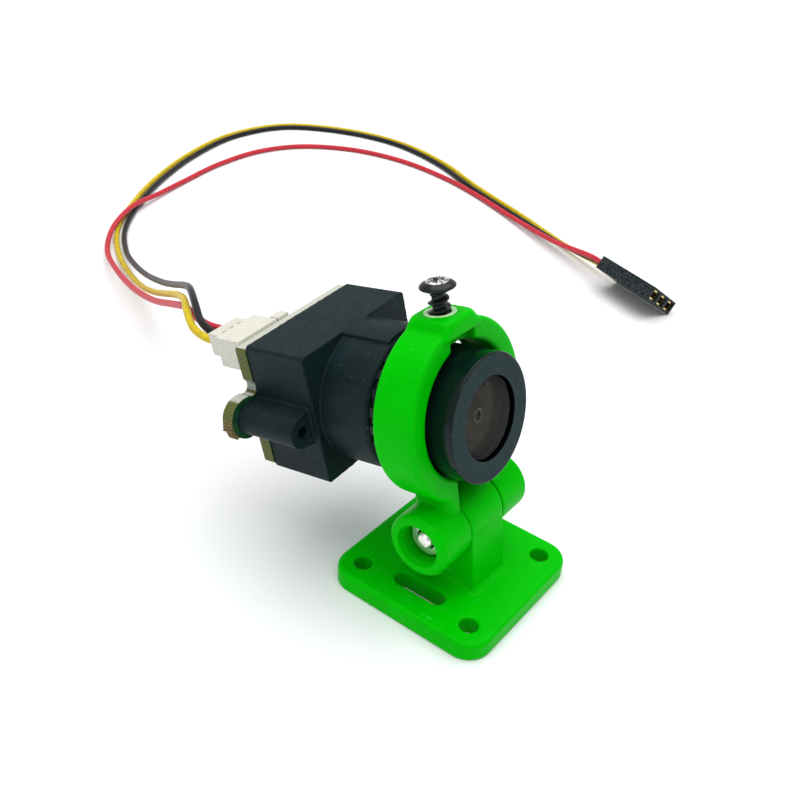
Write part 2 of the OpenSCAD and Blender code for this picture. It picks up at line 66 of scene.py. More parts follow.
# The cable plug lies leaning on one long edge.
CABLE = (Matrix.Translation((81.5, 16.3, 3.27)) @ Matrix.Rotation(math.radians(-112), 4, "Z")
         @ Matrix.Rotation(math.radians(-36), 4, "X"))

# Stations along the lens axis, and the main sizes.
LENS_FRONT = -5.3
HEAD_BACK = 1.0
LENS_R = 7.2
THREAD_R = 6.0
LOCK_FRONT = 2.75
LOCK_BACK = 4.9
LOCK_R = 7.9
BOARD_FRONT = 20.3
BOARD_BACK = 21.9
PLUG_BACK = 28.0
WIRE_X = (-6.55, -5.3, -4.05)
WIRE_UP = 6.8
WIRE_D = 1.0
CONTACT_BACK = 26.4
CABLE_PLUG = Vector((14, 7.62, 2.54))
CABLE_PITCH = 2.54
CABLE_DEPTH = 3
LUG_X = 10.4


# ---- Camera ----

def make_camera():
    """The photograph's view: where the camera stands, its heading, elevation, roll and lens."""
    data = bpy.data.cameras.new("camera")
    data.lens = 43.56
    data.clip_start = 0.005
    data.clip_end = 10
    camera = bpy.data.objects.new("camera", data)
    scene.collection.objects.link(camera)
    azimuth, elevation, roll = (math.radians(a) for a in (-54.46, 33.39, 4.04))
    back = Vector((math.sin(azimuth) * math.cos(elevation),
                   -math.cos(azimuth) * math.cos(elevation), math.sin(elevation)))
    turn = back.to_track_quat("Z", "Y").to_matrix().to_4x4() @ Matrix.Rotation(roll, 4, "Z")
    camera.matrix_world = Matrix.Translation(Vector((-74.31, -43.83, 80.98)) * MM) @ turn
    scene.camera = camera


make_camera()


# ---- Cords: each wire's route repeats the CAD source's points ----

YELLOW_ROUTE = [
    (-6, 36.6, 21.9), (-3.6, 40.4, 21.8), (-0.4, 44.6, 20.7), (3.4, 50.4, 17.9), (7.6, 58, 13.8),
    (12, 66.4, 9.4), (17, 76, 5.2), (22, 85.5, 2.4), (27.8, 96, 0.8), (35, 105.5, 0.55),
    (45, 113.5, 0.55), (58, 121.4, 0.55), (74, 128.3, 0.55), (91, 132, 0.55), (106, 128.4, 0.55),
    (115, 116, 0.55), (118, 100, 0.55), (114.4, 83.5, 0.55), (107, 68.2, 0.55), (100.2, 52.4, 0.6),
    (92.2, 36, 0.9)]
BLACK_ROUTE = [
    (-4.9, 36.4, 22.5), (-2.6, 40, 22.8), (0.7, 44.6, 21.9), (4.3, 50, 19.2), (8.6, 57.6, 15.1),
    (13.2, 66, 10.9), (18.2, 76, 6.9), (23.4, 86, 3.8), (28.9, 95.2, 1.5), (36, 104.4, 0.6),
    (45.7, 112.3, 0.55), (58.5, 120, 0.55), (74.3, 126.8, 0.55), (90.7, 130.4, 0.55),
    (105, 127.1, 0.55), (113.5, 115.2, 0.55), (116.5, 100, 0.55), (113, 84.2, 0.55),
    (105.7, 69, 0.55), (98.8, 53.2, 0.7), (91, 37.6, 1.7)]
RED_ROUTE = [
    (-3.9, 36.6, 21.6), (-2.4, 40.6, 20.8), (0, 45, 19.4), (3, 51, 16.4), (8, 61.8, 11.2),
    (13.8, 74, 6.7), (20, 86.4, 3.5), (26.3, 97.4, 1.7), (34, 105.2, 1.7), (43, 110.6, 1.7),
    (52, 113.6, 0.9), (62, 116.3, 0.55), (74.5, 118.8, 0.55), (87.5, 118.8, 0.55),
    (98, 114.2, 0.55), (105.4, 104, 0.55), (108, 91, 0.55), (106.4, 77, 0.55), (102.6, 65, 0.6),
    (97, 52.4, 0.9), (89.8, 38.6, 2.3)]


def curve_point(a, b, c, d, t):
    """Catmull-Rom point between b and c."""
    return 0.5 * (2 * b + (c - a) * t + (2 * a - 5 * b + 4 * c - d) * t * t
                  + (3 * b - a - 3 * c + d) * t * t * t)


def smooth(points, steps):
    """Smooth curve through the points, with steps stretches between neighbours."""
    last = len(points) - 1
    line = [curve_point(points[max(i - 1, 0)], points[i], points[i + 1],
                        points[min(i + 2, last)], k / steps)
            for i in range(last) for k in range(steps)]
    return line + [points[last]]


def make_wire(colour, route, x, place, length):
    """One insulated wire from the power plug to its way of the cable plug."""
    lead_out = [LENS @ Vector((x, v, WIRE_UP)) for v in (CONTACT_BACK, PLUG_BACK, PLUG_BACK + 2)]
    end = -CABLE_PLUG.x / 2
    lead_in = [CABLE @ Vector((e, place, 0)) for e in (end - 4, end, end + CABLE_DEPTH)]
    line = smooth(lead_out + [Vector(p) for p in route] + lead_in, 6)
    curve = bpy.data.curves.new("wire_" + colour, "CURVE")
    curve.dimensions = "3D"
    curve.bevel_depth = 1        # times each point's radius, which also bounds the curve
    curve.bevel_resolution = 3
    curve.use_fill_caps = True
    spline = curve.splines.new("POLY")
    spline.points.add(len(line) - 1)
    for point, at in zip(spline.points, line):
        point.co = (*(at * MM), 1)
        point.radius = WIRE_D / 2 * MM
    spline.use_smooth = True
    wire = bpy.data.objects.new(f"wire_{colour}_insulation", curve)
    scene.collection.objects.link(wire)
    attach(wire, "camera")
    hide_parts("wire_" + colour)
    exit_at = LENS @ Vector((x, PLUG_BACK, WIRE_UP)) * MM
    return wire, {"exit": tuple(exit_at), "length": length}


WIRES = {
    "yellow": make_wire("yellow", YELLOW_ROUTE, WIRE_X[0], CABLE_PITCH, 0.2897),
    "black": make_wire("black", BLACK_ROUTE, WIRE_X[1], 0, 0.2845),
    "red": make_wire("red", RED_ROUTE, WIRE_X[2], -CABLE_PITCH, 0.2595),
}


# ---- Materials ----

class Shader:
    """Short way to write a material: each call makes one node and links what it is given."""

    def __init__(self, name, **sockets):
        self.material = bpy.data.materials.new(name)
        self.material.use_nodes = True
        self.tree = self.material.node_tree
        self.surface = self.tree.nodes["Principled BSDF"]
        self.where = self.node("ShaderNodeTexCoord").outputs["Object"]
        for socket, value in sockets.items():
            self.put(self.surface.inputs[socket.replace("_", " ")], value)

    def put(self, socket, value):
        """Links a socket's input when it is given an output, else sets its plain value."""
        if isinstance(value, bpy.types.NodeSocket):
            self.tree.links.new(value, socket)
        elif hasattr(value, "__len__") and len(value) == 3 and socket.type == "RGBA":
            socket.default_value = (*value, 1)
        else:
            socket.default_value = value

    def node(self, kind, inputs=None, **settings):
        """One new node, with its settings and its inputs."""
        made = self.tree.nodes.new(kind)
        for key, value in settings.items():
            setattr(made, key, value)
        for key, value in (inputs or {}).items():
            self.put(made.inputs[key], value)
        return made

    def noise(self, scale, detail=2.0, stretch=(1, 1, 1)):
        """Cloudy pattern fixed to the object, mostly between 0.3 and 0.7."""
        spread = self.node("ShaderNodeMapping", {"Vector": self.where, "Scale": stretch})
        return self.node("ShaderNodeTexNoise", {"Vector": spread.outputs[0], "Scale": scale,
                                                "Detail": detail}).outputs["Fac"]

    def span(self, value, low, high, to_low=0.0, to_high=1.0):
        """A value's range, stretched to another range and kept inside it."""
        return self.node("ShaderNodeMapRange", {"Value": value, "From Min": low, "From Max": high,
                                                "To Min": to_low, "To Max": to_high}).outputs[0]

    def times(self, a, b):
        return self.node("ShaderNodeMath", {0: a, 1: b}, operation="MULTIPLY").outputs[0]

    def mix(self, share, a, b):
        return self.node("ShaderNodeMix", {0: share, 6: a, 7: b}, data_type="RGBA").outputs[2]

    def bump(self, height, distance, normal=None):
        """Surface relief of a height pattern, its distance in metres."""
        inputs = {"Height": height, "Distance": distance, "Strength": 1.0}
        if normal:
            inputs["Normal"] = normal
        return self.node("ShaderNodeBump", inputs).outputs[0]

    def edges(self, low, high):
        """1 on sharp outer edges, 0 elsewhere."""
        return self.span(self.node("ShaderNodeNewGeometry").outputs["Pointiness"], low, high)


def shade(colour, by):
    """The same colour, lighter or darker."""
    return tuple(min(1.0, c * by) for c in colour)


def finish(name, colour, rough, tone=0.15, tone_scale=260, grain=0.004, grain_scale=9000,
           scratch=0.0, worn=None, wear=0.6, wear_at=(0.52, 0.6), dust=0.0, dust_colour=(0.6, 0.62, 0.62),
           **sockets):
    """Solid material: uneven tone, fine grain, scratches, worn edges and dust."""
    s = Shader(name, **sockets)
    base = s.mix(s.span(s.noise(tone_scale, 3), 0.3, 0.7), shade(colour, 1 - tone),
                 shade(colour, 1 + tone))
    roughness = s.span(s.noise(tone_scale * 6, 3), 0.3, 0.7, rough * 0.82, min(1, rough * 1.18))
    if dust:
        specks = s.times(s.span(s.noise(5600, 1), 0.67, 0.73), dust)
        base = s.mix(specks, base, dust_colour)
    if worn:
        broken = s.span(s.noise(2400, 3), 0.42, 0.62)
        rubbed = s.times(s.times(s.edges(*wear_at), broken), wear)
        base = s.mix(rubbed, base, worn)
    s.put(s.surface.inputs["Base Color"], base)
    s.put(s.surface.inputs["Roughness"], roughness)
    normal = s.bump(s.noise(grain_scale, 2), grain * MM)
    if scratch:
        lines = s.span(s.noise(1500, 1, (1, 14, 1)), 0.62, 0.7)
        normal = s.bump(lines, -scratch * MM, normal)
    s.put(s.surface.inputs["Normal"], normal)
    return s.material


def glass(name, tint):
    """Clear, coated glass that hardly bends what is seen through it."""
    s = Shader(name, Base_Color=tint, Transmission_Weight=1.0, IOR=1.12)
    s.put(s.surface.inputs["Roughness"], s.span(s.noise(2600, 4), 0.55, 0.8, 0.02, 0.12))
    return s.material


def board_mask(name):
    """Solder mask over copper pours, with the bare fibreglass showing at the cut edges, and a painted
    highlight on the edges facing up.
    """
    s = Shader(name, Specular_IOR_Level=0.12)
    weave = s.node("ShaderNodeTexWave", {"Vector": s.where, "Scale": 900, "Distortion": 1.5},
                   bands_direction="DIAGONAL").outputs["Fac"]
    pour = s.span(s.noise(700, 1), 0.47, 0.53)
    mask = s.mix(pour, (0.006, 0.045, 0.018), (0.012, 0.07, 0.026))
    facing = s.node("ShaderNodeVectorTransform", {0: s.node("ShaderNodeNewGeometry").outputs["Normal"]},
                    vector_type="NORMAL", convert_from="WORLD", convert_to="OBJECT").outputs[0]
    along = s.node("ShaderNodeVectorMath", {0: facing, 1: tuple(LENS.to_3x3() @ Vector((0, 1, 0)))},
                   operation="DOT_PRODUCT").outputs["Value"]
    flat = s.span(s.node("ShaderNodeMath", {0: along}, operation="ABSOLUTE").outputs[0], 0.6, 0.75)
    upward_share_for_painted_highlight = s.node("ShaderNodeVectorMath", {0: facing, 1: tuple(LENS.to_3x3() @ Vector((0, 0, 1)))},
                    operation="DOT_PRODUCT").outputs["Value"]
    fibre = s.mix(weave, (0.09, 0.103, 0.026), (0.11, 0.125, 0.036))
    # Edges that face up are painted pale: a painted highlight where they catch the light.
    edge = s.mix(s.span(upward_share_for_painted_highlight, 0.93, 0.98), fibre, (0.5, 0.51, 0.44))
    s.put(s.surface.inputs["Base Color"], s.mix(flat, edge, mask))
    s.put(s.surface.inputs["Roughness"], s.span(weave, 0, 1, 0.38, 0.55))
    s.put(s.surface.inputs["Normal"], s.bump(pour, 0.008 * MM, s.bump(s.noise(8000), 0.003 * MM)))
    return s.material


MATERIALS = {
    # Its convex edges are painted lighter green: partly scuffs, partly a painted highlight along the rounded
    # edges.
    "green_plastic": finish("green_plastic", (0.0, 0.485, 0.0005), 0.32, tone=0.05, grain=0.002,
                            grain_scale=5200, worn=(0.04, 0.62, 0.06), wear=0.4,
                            wear_at=(0.55, 0.68), Specular_IOR_Level=0.035),
    "rubbed_green": finish("rubbed_green", (0.5, 0.82, 0.42), 0.5, tone=0.3, tone_scale=1500,
                           grain=0.01, Specular_IOR_Level=0.3),
    "nickel_steel": finish("nickel_steel", (0.86, 0.85, 0.81), 0.2, tone=0.05, grain=0.0006,
                           scratch=0.0008, Metallic=0.85),
    "black_steel": finish("black_steel", (0.008, 0.01, 0.011), 0.26, tone=0.3, grain=0.0012,
                          worn=(0.3, 0.3, 0.29), wear=0.4, wear_at=(0.58, 0.68), Metallic=0.2,
                          Specular_IOR_Level=0.3),
    # Near-white on the recess edges: partly driver wear, partly painted glints.
    "rubbed_steel_and_painted_glints": finish("rubbed_steel_and_painted_glints", (0.01, 0.011, 0.012), 0.25, tone=0.3, grain=0.002,
                           worn=(0.9, 0.89, 0.86), wear=1.0, wear_at=(0.42, 0.5), Metallic=0.5,
                           Specular_IOR_Level=0.4),
    # The front face's lighter grey is a painted reflection: the same metal as the side, lit by the bright
    # surroundings.
    "lens_face_painted_reflection": finish("lens_face_painted_reflection", (0.017, 0.034, 0.036), 0.5, tone=0.06, grain=0.0008,
                        worn=(0.12, 0.13, 0.13), wear=0.2, wear_at=(0.58, 0.7),
                        Specular_IOR_Level=0.05),
    "lens_metal": finish("lens_metal", (0.002, 0.008, 0.007), 0.13, tone=0.15, grain=0.0004,
                         worn=(0.2, 0.2, 0.2), wear=0.3, wear_at=(0.58, 0.7),
                         Specular_IOR_Level=0.18),
    "lens_inside": finish("lens_inside", (0.027, 0.027, 0.02), 0.6, tone=0.08, grain=0.001,
                          Specular_IOR_Level=0.02),
    "lens_sleeve": finish("lens_sleeve", (0.001, 0.002, 0.002), 0.7, tone=0.2, grain=0.001,
                          Specular_IOR_Level=0.0),
    # Painted reflection: the lip's light grey stands in for the ring reflected in the glass.
    "aperture_lip_painted_reflection": finish("aperture_lip_painted_reflection", (0.085, 0.085, 0.07), 0.4, tone=0.1, grain=0.001,
                       Specular_IOR_Level=0.3),
    "lens_glass": glass("lens_glass", (0.8, 0.77, 0.7)),
    "filter_glass": glass("filter_glass", (0.5, 0.75, 0.8)),
    "housing_plastic": finish("housing_plastic", (0.0052, 0.0145, 0.017), 0.48, tone=0.18,
                              grain=0.004, grain_scale=6500, scratch=0.0015,
                              worn=(0.09, 0.11, 0.12), wear=0.5, wear_at=(0.55, 0.66), dust=0.12,
                              dust_colour=(0.16, 0.19, 0.2), Specular_IOR_Level=0.11),
    "board": board_mask("board"),
    "fibre": finish("fibre", (0.17, 0.13, 0.05), 0.7, tone=0.4, tone_scale=2500, grain=0.02,
                    grain_scale=5000, Specular_IOR_Level=0.2),
    "plating": finish("plating", (0.3, 0.35, 0.29), 0.5, tone=0.25, tone_scale=2500, grain=0.008,
                      grain_scale=6000, Metallic=0.2, Specular_IOR_Level=0.2),
    "chip": finish("chip", (0.01, 0.01, 0.012), 0.45, grain=0.002, worn=(0.1, 0.1, 0.1),
                   Specular_IOR_Level=0.3),
    "capacitor": finish("capacitor", (0.26, 0.16, 0.08), 0.4, tone=0.2, grain=0.002),
    "tin": finish("tin", (0.7, 0.7, 0.68), 0.34, tone=0.12, grain=0.003, Metallic=0.9),
    "crystal_metal": finish("crystal_metal", (0.7, 0.68, 0.62), 0.24, grain=0.001, scratch=0.001,
                            Metallic=1.0),
    "ivory_plastic": finish("ivory_plastic", (0.6, 0.59, 0.505), 0.4, tone=0.03, grain=0.001,
                            worn=(0.74, 0.72, 0.64), wear=0.35, Specular_IOR_Level=0.2),
    "contact": finish("contact", (0.83, 0.62, 0.27), 0.25, tone=0.12, scratch=0.001, Metallic=1.0),
    "wire_yellow": finish("wire_yellow", (0.6, 0.44, 0.01), 0.42, tone=0.14, tone_scale=900,
                          grain=0.002, grain_scale=4000, Specular_IOR_Level=0.15),
    "wire_black": finish("wire_black", (0.009, 0.009, 0.01), 0.36, tone=0.3, tone_scale=900,
                         grain=0.002, grain_scale=4000, Specular_IOR_Level=0.2),
    "wire_red": finish("wire_red", (0.52, 0.03, 0.045), 0.42, tone=0.14, tone_scale=900,
                       grain=0.002, grain_scale=4000, Specular_IOR_Level=0.15),
    "black_plastic": finish("black_plastic", (0.006, 0.013, 0.013), 0.28, tone=0.12, grain=0.0005,
                            grain_scale=6000, scratch=0.001, worn=(0.12, 0.13, 0.14), wear=0.3,
                            wear_at=(0.56, 0.68), Specular_IOR_Level=0.14),
}

for wire_colour, (wire_piece, _) in WIRES.items():
    wire_piece.data.materials.append(MATERIALS["wire_" + wire_colour])


# ---- Mesh helpers: everything is in millimetres until settle() ----

def add_object(name, mesh):
    """A new object in the scene with this mesh."""
    made = bpy.data.objects.new(name, mesh)
    scene.collection.objects.link(made)
    return made


def modify(piece, kind, **settings):
    """Adds one modifier and turns its result into the piece's own mesh."""
    modifier = piece.modifiers.new(kind.lower(), kind)
    for key, value in settings.items():
        setattr(modifier, key, value)
    bpy.context.view_layer.update()
    result = piece.evaluated_get(bpy.context.evaluated_depsgraph_get())
    mesh = bpy.data.meshes.new_from_object(result)
    piece.modifiers.clear()
    piece.data = mesh
    return piece


def combine(piece, other, operation="DIFFERENCE"):
    """Cuts a piece by another one, or joins them, and uses the other one up."""
    modify(piece, "BOOLEAN", operation=operation, solver="EXACT", object=other)
    bpy.data.objects.remove(other)
    return piece


def assemble(name, *parts):
    """One mesh from parts, each (bmesh, place) or (bmesh, place, material index)."""
    whole = bmesh.new()
    for part, place, *index in parts:
        part.transform(place)
        for face in part.faces:
            face.material_index = index[0] if index else 0
        step = bpy.data.meshes.new("step")
        part.to_mesh(step)
        part.free()
        whole.from_mesh(step)
        bpy.data.meshes.remove(step)
    mesh = bpy.data.meshes.new(name)
    whole.to_mesh(mesh)
    whole.free()
    return add_object(name, mesh)


def node_copy(name, node):
    """A new mesh with a CAD node's shape, in millimetres, to be worked on."""
    mesh = frame["nodes"][node].data.copy()
    mesh.transform(Matrix.Scale(1 / MM, 4))
    mesh.materials.clear()
    work = bmesh.new()
    work.from_mesh(mesh)
    bmesh.ops.remove_doubles(work, verts=work.verts[:], dist=0.0005)
    work.to_mesh(mesh)
    work.free()
    return add_object(name, mesh)


def moulded(name, node, voxel=0.11, soften=14):
    """A CAD node's shape with the soft edges and filleted corners of a moulding."""
    piece = node_copy(name, node)
    modify(piece, "REMESH", mode="VOXEL", voxel_size=voxel, use_smooth_shade=True)
    modify(piece, "SMOOTH", factor=0.5, iterations=soften)
    return modify(piece, "DECIMATE", ratio=0.5)


def softened(name, node, edge):
    """A CAD node's shape with every edge rounded a little."""
    piece = node_copy(name, node)
    work = bmesh.new()
    work.from_mesh(piece.data)
    bmesh.ops.dissolve_limit(work, angle_limit=math.radians(1.5), verts=work.verts[:],
                             edges=work.edges[:])
    work.to_mesh(piece.data)
    work.free()
    return modify(piece, "BEVEL", width=edge, segments=2, limit_method="ANGLE",
                  angle_limit=math.radians(35), use_clamp_overlap=True)


def block(low, high, edge):
    """Box with rounded edges."""
    made = bmesh.new()
    bmesh.ops.create_cube(made, size=1)
    for vert in made.verts:
        vert.co = Vector((a + b) / 2 + c * (b - a) for a, b, c in zip(low, high, vert.co))
    bmesh.ops.bevel(made, geom=made.edges[:], offset=edge, segments=2, profile=0.5, affect="EDGES")
    return made


def arc(centre, radius, start, end, steps=4):
    """Points of a round corner, its angles in degrees."""
    angles = [math.radians(start + (end - start) * k / steps) for k in range(steps + 1)]
    return [(centre[0] + radius * math.cos(a), centre[1] + radius * math.sin(a)) for a in angles]


def lathe(outline, steps):
    """A closed outline of (radius, height) points turned round Z."""
    made = bmesh.new()
    rings = []
    for radius, height in outline:
        if radius < 1e-6:
            rings.append([made.verts.new((0, 0, height))] * steps)
            continue
        turns = [2 * math.pi * k / steps for k in range(steps)]
        rings.append([made.verts.new((radius * math.cos(a), radius * math.sin(a), height))
                      for a in turns])
    for i, ring in enumerate(rings):
        following = rings[(i + 1) % len(rings)]
        for k in range(steps):
            after = (k + 1) % steps
            corners = dict.fromkeys([ring[k], ring[after], following[after], following[k]])
            if len(corners) > 2:
                made.faces.new(list(corners))
    bmesh.ops.recalc_face_normals(made, faces=made.faces[:])
    return made


def thread(core, crest, pitch, low, high, steps, rows=8):
    """Screw thread along Z that runs out at both ends."""
    made = bmesh.new()
    count = math.ceil((high - low) / pitch * rows)
    rings = []
    for i in range(count + 1):
        height = low + (high - low) * i / count
        ends = min(1, (height - low) / pitch, (high - height) / pitch)
        ring = []
        for k in range(steps):
            phase = ((height - low) / pitch - k / steps) % 1
            ridge = max(0, min(1, 1.25 - abs(phase - 0.5) * 3.6)) * ends
            radius = core + (crest - core) * ridge
            angle = 2 * math.pi * k / steps
            ring.append(made.verts.new((radius * math.cos(angle), radius * math.sin(angle), height)))
        rings.append(ring)
    for below, above in zip(rings, rings[1:]):
        for k in range(steps):
            after = (k + 1) % steps
            made.faces.new([below[k], below[after], above[after], above[k]])
    made.faces.new(rings[0][::-1])
    made.faces.new(rings[-1])
    return made


def prism(points, low, high):
    """An outline drawn in X and Y, standing between two heights."""
    made = bmesh.new()
    bottom = [made.verts.new((x, y, low)) for x, y in points]
    top = [made.verts.new((x, y, high)) for x, y in points]
    made.faces.new(bottom[::-1])
    made.faces.new(top)
    for k in range(len(points)):
        after = (k + 1) % len(points)
        made.faces.new([bottom[k], bottom[after], top[after], top[k]])
    return made


def ring_of(count, radius):
    """Points evenly spaced round a circle."""
    angles = [2 * math.pi * k / count for k in range(count)]
    return [(radius * math.cos(a), radius * math.sin(a)) for a in angles]


def settle(piece, body, slot, nodes=(), materials=None, sharp=38):
    """Brings a finished piece to metres, gives it its materials and hangs it on its body."""
    piece.data.transform(Matrix.Scale(MM, 4))
    piece.data.shade_smooth()
    piece.data.set_sharp_from_angle(angle=math.radians(sharp))
    chosen = [polygon.material_index for polygon in piece.data.polygons]
    piece.data.materials.clear()
    for name in materials or [slot]:
        piece.data.materials.append(MATERIALS[name])
    piece.data.polygons.foreach_set("material_index", chosen)
    weighted = piece.modifiers.new("normals", "WEIGHTED_NORMAL")
    weighted.keep_sharp = True
    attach(piece, body)
    if nodes:
        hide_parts(*nodes)
    return piece


def face_material(piece, index, test):
    """Gives the faces whose centre passes the test another of the piece's materials."""
    for polygon in piece.data.polygons:
        if test(polygon.center):
            polygon.material_index = index


# ---- Mount ----

def make_mount():
    """Soft-edged mouldings: the base, and the clamp with its rounder boss and rubbed screw hole."""
    settle(moulded("base_moulding", "base"), "base", "green_plastic", ["base"], sharp=180)

    clamp = moulded("clamp_moulding", "clamp_ring")
    upright = RING.inverted()
    boss = clamp.vertex_groups.new(name="boss")
    for vert in clamp.data.vertices:
        at = upright @ vert.co
        if at.z > 9 and abs(at.x) < 4.5 and math.hypot(at.x, at.y) > 1.9:
            boss.add([vert.index], min(1, at.z - 9), "REPLACE")
    modify(clamp, "SMOOTH", factor=0.5, iterations=30, vertex_group="boss")
    settle(clamp, "ring", "green_plastic", ["clamp_ring"], sharp=180)

    top = 10.9
    rubbed = lathe([(1.26, top - 0.15), (1.78, top - 0.15), (1.76, top), (1.68, top + 0.03),
                    (1.3, top + 0.03), (1.26, top)], 64)
    settle(assemble("boss_hole_rim", (rubbed, RING)), "ring", "green_plastic", [], ["rubbed_green"],
           sharp=40)


def make_pivot():
    """M2 nut with chamfered corners in the near ear, and the bolt with its domed, threaded end."""
    flats = 4.0
    thick = 1.6
    back = 4.92
    nut = assemble("nut_hexagon", (prism(ring_of(6, flats / 2 / math.cos(math.pi / 6)), 0, thick), HERE))
    bevelled = lathe([(0, 0), (1.95, 0), (2.35, 0.22), (2.35, thick - 0.22), (1.95, thick), (0, thick)], 64)
    combine(nut, assemble("chamfer", (bevelled, HERE)), "INTERSECT")
    bore = lathe([(0, -0.1), (1.35, -0.1), (1.03, 0.22), (1.03, thick - 0.22), (1.35, thick + 0.1),
                  (0, thick + 0.1)], 48)
    combine(nut, assemble("bore", (bore, HERE)))
    # The bore's faces take the black steel as painted shade in the threaded hole.
    face_material(nut, 1, lambda c: 0.02 < c.z < thick - 0.02 and math.hypot(c.x, c.y) < 1.3)
    nut.data.transform(TILTED @ Matrix.Translation((-back - thick, 0, 0)) @ ALONG_X)
    settle(nut, "ring", "nickel_steel", ["pivot_nut"], ["nickel_steel", "black_steel"], sharp=25)

    tip = -7.25
    floor_x = 6.75
    head_low = floor_x + 0.07    # clear of the moulding's softened floor
    shank = thread(0.86, 1.0, 0.4, tip + 0.25, -2.5, steps=32)
    plain = lathe([(0, -2.6), (1, -2.6), (1, floor_x + 0.3), (0, floor_x + 0.3)], 48)
    dome = lathe([(0, tip + 0.4), (0.88, tip + 0.4), (0.97, tip + 0.3), (0.97, tip + 0.24),
                  (0.76, tip + 0.04), (0.68, tip), (0, tip)], 48)
    top = floor_x + 1.3
    head = lathe([(0, head_low), (1.85, head_low), (1.9, head_low + 0.08)]
                 + arc((1.55, top - 0.35), 0.35, 0, 90) + [(0, top)], 64)
    bolt_head = assemble("bolt_head", (head, HERE))
    socket = prism(ring_of(6, 0.866), top - 0.8, top + 0.2)
    combine(bolt_head, assemble("socket", (socket, HERE)))
    bolt = assemble("pivot_bolt_turned", (shank, HERE), (plain, HERE), (dome, HERE))
    bolt = join(bolt, bolt_head)
    bolt.data.transform(TILTED @ ALONG_X)
    settle(bolt, "bolt", "nickel_steel", ["pivot_bolt"], sharp=30)


def join(piece, other):
    """Adds another piece's mesh to a piece."""
    whole = bmesh.new()
    whole.from_mesh(piece.data)
    whole.from_mesh(other.data)
    whole.to_mesh(piece.data)
    whole.free()
    bpy.data.objects.remove(other)
    return piece


def cross_recess(reach, width, top, depth, turn):
    """Tapered cross for a screwdriver."""
    arms = []
    for quarter in (0, 90):
        arm = block((-reach, -width / 2, top - depth), (reach, width / 2, top + 0.5), 0.01)
        for vert in arm.verts:
            if vert.co.z < top - depth / 2:
                vert.co.x *= 0.45
        arms.append((arm, Matrix.Rotation(math.radians(quarter + turn), 4, "Z")))
    first, second = (assemble("arm", arm) for arm in arms)
    return combine(first, second, "UNION")


def make_clamp_screw():
    """Self-cutting screw: a thin oval head with a conical underside and a coarse thread."""
    tip = 6.8
    low = 13.15
    top = 14.5
    rim = low + 0.55
    head = lathe([(0, low - 0.1), (0.9, low - 0.1), (1.1, low), (1.88, rim - 0.14), (1.96, rim - 0.07),
                  (1.98, rim + 0.04), (1.96, rim + 0.12), (1.86, rim + 0.24), (1.62, rim + 0.43),
                  (1.3, rim + 0.6), (0.95, rim + 0.71), (0.5, rim + 0.78), (0, top)], 72)
    screw = assemble("clamp_screw_head", (head, HERE))
    combine(screw, cross_recess(1.2, 0.5, top, 0.8, 20))
    # The recess faces take the near-white edges: partly wear, partly painted glints.
    face_material(screw, 1, lambda c: c.z > low + 0.65 and math.hypot(c.x, c.y) < 1.4)
    body = thread(0.75, 1.2, 1.0, tip + 0.3, low + 0.1, steps=48, rows=14)
    point = lathe([(0, tip), (0.5, tip), (0.74, tip + 0.32), (0.74, tip + 0.5), (0, tip + 0.5)], 40)
    screw = join(screw, assemble("shank", (body, HERE), (point, HERE)))
    screw.name = "clamp_screw_turned"
    screw.data.transform(RING)
    settle(screw, "clamp_screw", "black_steel", ["clamp_screw"], ["black_steel", "rubbed_steel_and_painted_glints"],
           sharp=32)


# ---- Lens ----

